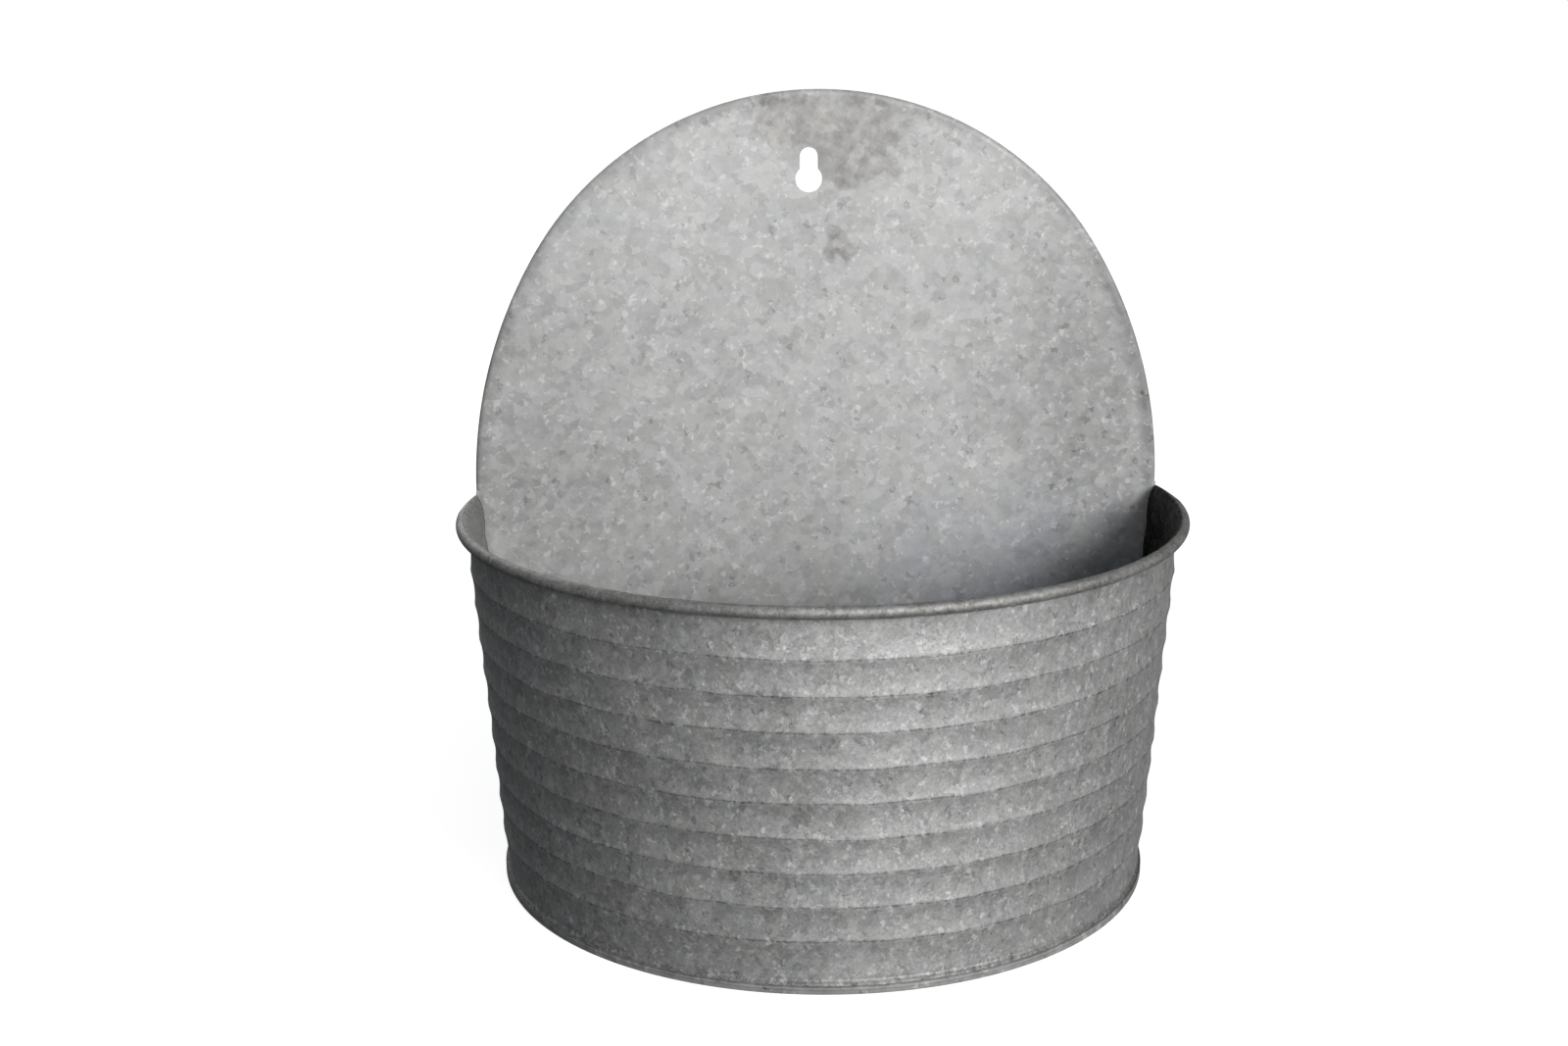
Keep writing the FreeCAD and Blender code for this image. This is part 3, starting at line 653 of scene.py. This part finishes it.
# %% A sheet of weathered zinc
def weathered_zinc(name, dark, light, crystal=4.6 * MM, contrast=1.0, streak=1.0, dull=0.68,
                   shine=0.5, speckle=0.07, flecks=1.0, mottled=0.26, marks=None):
    """Zinc between a dark and a light grey. marks(place) returns light and dark marks to add,
    the share of brown in them (below 0 it is blue), and where the flecks are fewer."""
    material = bpy.data.materials.new(name)
    material.use_nodes = True
    shader = material.node_tree.nodes["Principled BSDF"]
    sheet = Socket(material.node_tree)
    place = sheet.node("ShaderNodeTexCoord", output="Object")
    drawn = stretch(place, (1.0, 1.0, streak))
    bent = ragged(drawn, 2.0 * MM, 2.6 * MM)
    large = cells(bent, crystal)
    middle = cells(ragged(shift(drawn, (0.3, 0.1, 0.2)), 1.4 * MM, 1.8 * MM), 0.56 * crystal)
    small = cells(ragged(shift(drawn, (0.7, 0.4, 0.9)), 0.8 * MM, 0.8 * MM), 0.30 * crystal)
    haze = cloud(place, 34 * MM, 3.0)
    mottle = cloud(bent, 6.5 * MM, 2.0)
    grain = cloud(drawn, 0.7 * MM, 3.0)
    white = picked(middle, 1, 0.14) * picked(small, 1, 0.55) + 0.7 * picked(small, 0, 0.02)
    black = picked(middle, 2, 0.06) * picked(small, 2, 0.60)
    tone = (0.17 * (tone_of(large) - 0.5) + 0.19 * (tone_of(middle) - 0.5)
            + mottled * (mottle - 0.5) + speckle * (tone_of(small) - 0.5)
            + 2 * speckle * (grain - 0.5))
    lighter, darker, brown, calm = marks(place) if marks else (0.0, 0.0, 0.0, 0.0 * haze)
    flecked = flecks * (1 - calm)
    tone = (0.5 + contrast * (tone + flecked * (0.36 * white - 0.38 * black))
            + 0.30 * (haze - 0.5) + lighter - darker)
    colour = sheet.node("ShaderNodeMix", {"data_type": "RGBA", "clamp_factor": False},
                        {0: tone, 6: (*dark, 1), 7: (*light, 1)}, 2)
    tint = sheet.node("ShaderNodeMix", {"data_type": "RGBA"},
                      {0: rise(cloud(shift(place, (0.4, 0.8, 0.3)), 13 * MM, 3.0), 0.38, 0.62),
                       6: (0.998, 1.0, 1.003, 1), 7: (1.006, 1.0, 0.982, 1)}, 2)
    tint = sheet.node("ShaderNodeMix", {"data_type": "RGBA", "clamp_factor": False},
                      {0: brown, 6: tint, 7: (1.02, 1.0, 0.955, 1)}, 2)
    colour = sheet.node("ShaderNodeMix", {"data_type": "RGBA", "blend_type": "MULTIPLY"},
                        {0: 1.0, 6: colour, 7: tint}, 2)
    links = material.node_tree.links
    links.new(colour.output, shader.inputs["Base Color"])
    roughness = dull + 0.08 * (tone_of(large, 2) - 0.5) + 0.10 * (mottle - 0.5)
    links.new(roughness.output, shader.inputs["Roughness"])
    metal = shine - 0.25 * (haze - 0.5) - 0.15 * white
    links.new(metal.output, shader.inputs["Metallic"])
    lean = sheet.node("ShaderNodeVectorMath", {"operation": "MULTIPLY_ADD"},
                      {0: large, 1: (0.08, 0.08, 0.08), 2: (-0.04, -0.04, -0.04)})
    normal = sheet.node("ShaderNodeNewGeometry", output="Normal")
    tilted = sheet.node("ShaderNodeVectorMath", {"operation": "ADD"}, {0: normal, 1: lean})
    tilted = sheet.node("ShaderNodeVectorMath", {"operation": "NORMALIZE"}, {0: tilted})
    height = 0.6 * grain + 0.5 * mottle
    bump = sheet.node("ShaderNodeBump", {}, {"Strength": 0.55, "Distance": 0.12 * MM,
                                             "Height": height, "Normal": tilted})
    links.new(bump.output, shader.inputs["Normal"])
    print(name, "has", len(material.node_tree.nodes), "nodes")
    return material


# %% [markdown]
# ## Stains and painted light and shade
# The plate is stained brown round the keyhole. Along its edge it has a margin of painted shade and
# a line of painted highlight, on its face broad ovals of painted light and painted shade, and low
# inside a painted blue shade tint. The wall has dark, broken lines along its crests, a line of
# painted shade along its rim, painted shade on the inner half of its bead, at its joint with the
# plate and at its foot, and painted light on its inside. The top of the pan's seam has painted
# shade. All could be painted by hand. Ovals, distances to edges and the values kept on the points
# place them just as well, and a noise makes their edges ragged.

# %% Marks of each sheet
def plate_marks(place):
    """Keyhole stains, painted shade and a painted highlight at the edge, ovals of painted
    light and shade, and a painted blue shade tint low on the right.
    """
    loose = ragged(place, 9 * MM, 22 * MM)
    loose = shift(loose, (-11 * MM, -11 * MM, -11 * MM))
    stain = (spot(loose, 14 * MM, 300 * MM, 38 * MM, 30 * MM)
             + spot(loose, -14 * MM, 308 * MM, 18 * MM, 17 * MM)
             + spot(loose, 17 * MM, 288 * MM, 22 * MM, 10 * MM)
             + 1.4 * spot(loose, 8 * MM, 256 * MM, 12 * MM, 10 * MM))
    stain = rise(stain, 0.10, 0.7)
    patch = cloud(place, 5 * MM, 2.0)
    brown = stain
    stain = stain * (0.34 + 0.8 * (patch - 0.5))
    x, z = part_of(place, 0), part_of(place, 2)
    wide = x.math("ABSOLUTE", x)
    crown = crown_radius - distance(wide, z - crown_z)
    haunch_x = flat_half - haunch_radius
    above = (z - SPRINGING).math("MAXIMUM", z - SPRINGING, 0.0)
    haunch = haunch_radius + BEAD - distance(wide - haunch_x, above)
    in_crown = wide.math("GREATER_THAN", (z - crown_z) * math.cos(HAUNCH), wide * math.sin(HAUNCH))
    from_edge = haunch + in_crown * (crown - haunch)
    # painted shade: the plate is darkened out to 8 mm from its edge, like the shading where the
    # edge rolls back
    painted_edge_shade = 0.26 * (1 - rise(from_edge, 2.5 * MM, 8.0 * MM))
    # painted highlight: the outermost 2 mm of the plate are lightened, like a reflection of the
    # bright backdrop
    painted_edge_highlight = 0.30 * (1 - rise(from_edge, 0.6 * MM, 2.2 * MM))
    # painted shade: two broad ovals darken the lower left and the right of the plate
    painted_shade_ovals = (0.22 * spot(place, -120 * MM, 160 * MM, 60 * MM, 45 * MM)
              + 0.46 * spot(place, 135 * MM, 200 * MM, 100 * MM, 130 * MM))
    # painted light: a broad oval lightens the upper left of the plate
    painted_light_oval = 0.24 * spot(place, -70 * MM, 285 * MM, 100 * MM, 80 * MM)
    # painted shade: low on the right, inside the planter, the zinc is tinted blue like the cool
    # light in its shadow
    painted_blue_shade = (1 - rise(z, 105 * MM, 165 * MM)) * rise(x, -20 * MM, 90 * MM)
    return painted_light_oval + painted_edge_highlight, stain + painted_edge_shade + painted_shade_ovals, 0.65 * brown - 1.8 * painted_blue_shade, 0.8 * brown


def wall_marks(place):
    """Dark broken lines along the crests, bright threads, a quiet rim, painted shade on the rim,
    the bead's inner half, the joint and the foot, and painted light on the inside.
    """
    crest = place.node("ShaderNodeAttribute", {"attribute_name": "crest"}, {}, "Fac")
    patch = cloud(stretch(place, (1, 1, 0.5)), 2.2 * MM, 3.0)
    # dark broken lines along the crests, and along the rim a line of painted shade
    dark_lines_and_rim_shade = rise(crest + 1.5 * (patch - 0.5), 0.62, 0.98)
    worn = rise(cloud(shift(place, (0.2, 0.5, 0.1)), 14 * MM, 2.0), 0.40, 0.60)
    fine = cloud(shift(place, (0.9, 0.5, 0.1)), 1.5 * MM, 2.0)
    thread = (1 - rise(fine.math("ABSOLUTE", fine - 0.5), 0.0, 0.022)) * worn
    rim = place.node("ShaderNodeAttribute", {"attribute_name": "curl"}, {}, "Fac")
    inside = place.node("ShaderNodeAttribute", {"attribute_name": "inside"}, {}, "Fac")
    painted_light_inside_right = inside * rise(part_of(place, 0), 20 * MM, 130 * MM)
    # painted shade: the last millimetre of the wall before the plate is darkened, like the shadow
    # in the gap there
    joint_shade = rise(part_of(place, 1), PLATE_Y - 1.3 * MM, PLATE_Y - 0.5 * MM)
    x, back = part_of(place, 0), part_of(place, 1) - AXIS_Y
    radius = distance(x, back.math("MINIMUM", back, 0.0))
    # painted shade: the inner half of the rolled bead is darkened, more towards the right, as if no
    # light from above reached it
    bead_inner_shade = rim * (1 - rise(radius, RIM_RADIUS - 1.4 * MM, RIM_RADIUS - 0.2 * MM))
    bead_inner_shade = bead_inner_shade * rise(x, -100 * MM, 20 * MM)
    # painted shade: the lowest 7 mm of the wall are darkened in ragged patches, so that the rounded
    # foot does not shine
    foot = 1 - rise(part_of(place, 2), 4.0 * MM, 7.0 * MM)
    darker = (0.45 * dark_lines_and_rim_shade + 0.4 * joint_shade + 0.4 * rim
              + 0.55 * foot * (0.4 + 1.2 * patch) + 0.8 * bead_inner_shade)
    # painted light: the inside of the wall is lightened a little, and much more towards the right,
    # where it lies in shade
    lighter = 0.30 * thread + (0.15 * inside + 0.8 * painted_light_inside_right) * (1 - rim)
    return lighter, darker, 0.5 * rim, 0.85 * rim


def pan_marks(place):
    """Painted shade lies along the top of the folded seam, so that it does not shine, and a
    thinner dark line runs under it.
    """
    z = part_of(place, 2)
    patch = cloud(stretch(place, (0.4, 0.4, 1)), 4 * MM, 2.0)
    # painted shade: the pan is darkened above 2.5 mm, on the rounded top of its seam
    seam = rise(z + 0.8 * MM * (patch - 0.5), 2.5 * MM, 3.1 * MM)
    line = (z - 1.7 * MM).math("ABSOLUTE", z - 1.7 * MM)
    return 0.0, 0.6 * seam + 0.3 * (1 - rise(line, 0.1 * MM, 0.4 * MM)), 0.3, 0.6 * seam


plate_zinc = weathered_zinc("plate_zinc_weathered", (0.26, 0.26, 0.26), (0.555, 0.555, 0.555),
                            dull=0.62, shine=0.25, flecks=0.8, marks=plate_marks)
wall_zinc = weathered_zinc("wall_zinc_weathered", (0.25, 0.25, 0.248), (0.59, 0.59, 0.588),
                           crystal=3.2 * MM, contrast=0.9, streak=0.85, dull=0.68, shine=0.8,
                           speckle=0.32, flecks=0.9, mottled=0.18, marks=wall_marks)
pan_zinc = weathered_zinc("pan_zinc_weathered", (0.20, 0.202, 0.204), (0.48, 0.482, 0.48),
                          marks=pan_marks)
wire_zinc = weathered_zinc("wire_zinc", (0.25, 0.25, 0.25), (0.6, 0.6, 0.6), crystal=1.5 * MM)

# %% [markdown]
# ## Floor glow
# Light falls off with distance, so a plain floor would turn grey towards the horizon. More lamps
# would also light the planter. A faint glow that grows with the distance only lights the floor.

# %% The floor glows a little more away from the planter, so that it stays white to the horizon
glow = Socket(floor.data.materials[0].node_tree)
ground = glow.node("ShaderNodeTexCoord", output="Object")
away = rise(distance(part_of(ground, 0), part_of(ground, 1)), 0.15, 1.6)
shade = glow.node("ShaderNodeMix", {"data_type": "RGBA"},
                  {0: away, 6: (0.36, 0.36, 0.36, 1), 7: (0.44, 0.44, 0.44, 1)}, 2)
floor_shader = floor.data.materials[0].node_tree.nodes["Principled BSDF"]
glow.tree.links.new(shade.output, floor_shader.inputs["Emission Color"])

# %% [markdown]
# ## Zinc on every piece
# The sheets were dipped together and weathered together, so they share one recipe with a few
# numbers changed. The wires sit inside the rolls, where the zinc forms much finer crystals.

# %% Give every piece its zinc
wall.data.materials.append(wall_zinc)
plate.data.materials.append(plate_zinc)
pan.data.materials.append(pan_zinc)
for node in ("edge_wire", "rim_wire"):
    for material_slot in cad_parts[node].material_slots:
        material_slot.material = wire_zinc

# %% [markdown]
# ## In place
# Each finer sheet takes the place of the plain one of the same name. The two wires stay as they
# are, hidden in their rolls. The sizes of each plain part and of its sheet are printed side by
# side.

# %% Put the sheets in the place of the plain ones
for piece, node, slot in ((wall, "front_wall", "wall_zinc"), (plate, "back_plate", "plate_zinc"),
                          (pan, "base_pan", "pan_zinc")):
    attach(piece, "root")
    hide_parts(node)
    low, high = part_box(node)
    reach = [[round(value / MM, 2) for value in corner] for corner in (low, high)]
    print(node, "is", reach, "and its sheet",
          [[round(f(vert.co[axis] for vert in piece.data.vertices) / MM, 2) for axis in range(3)]
           for f in (min, max)])
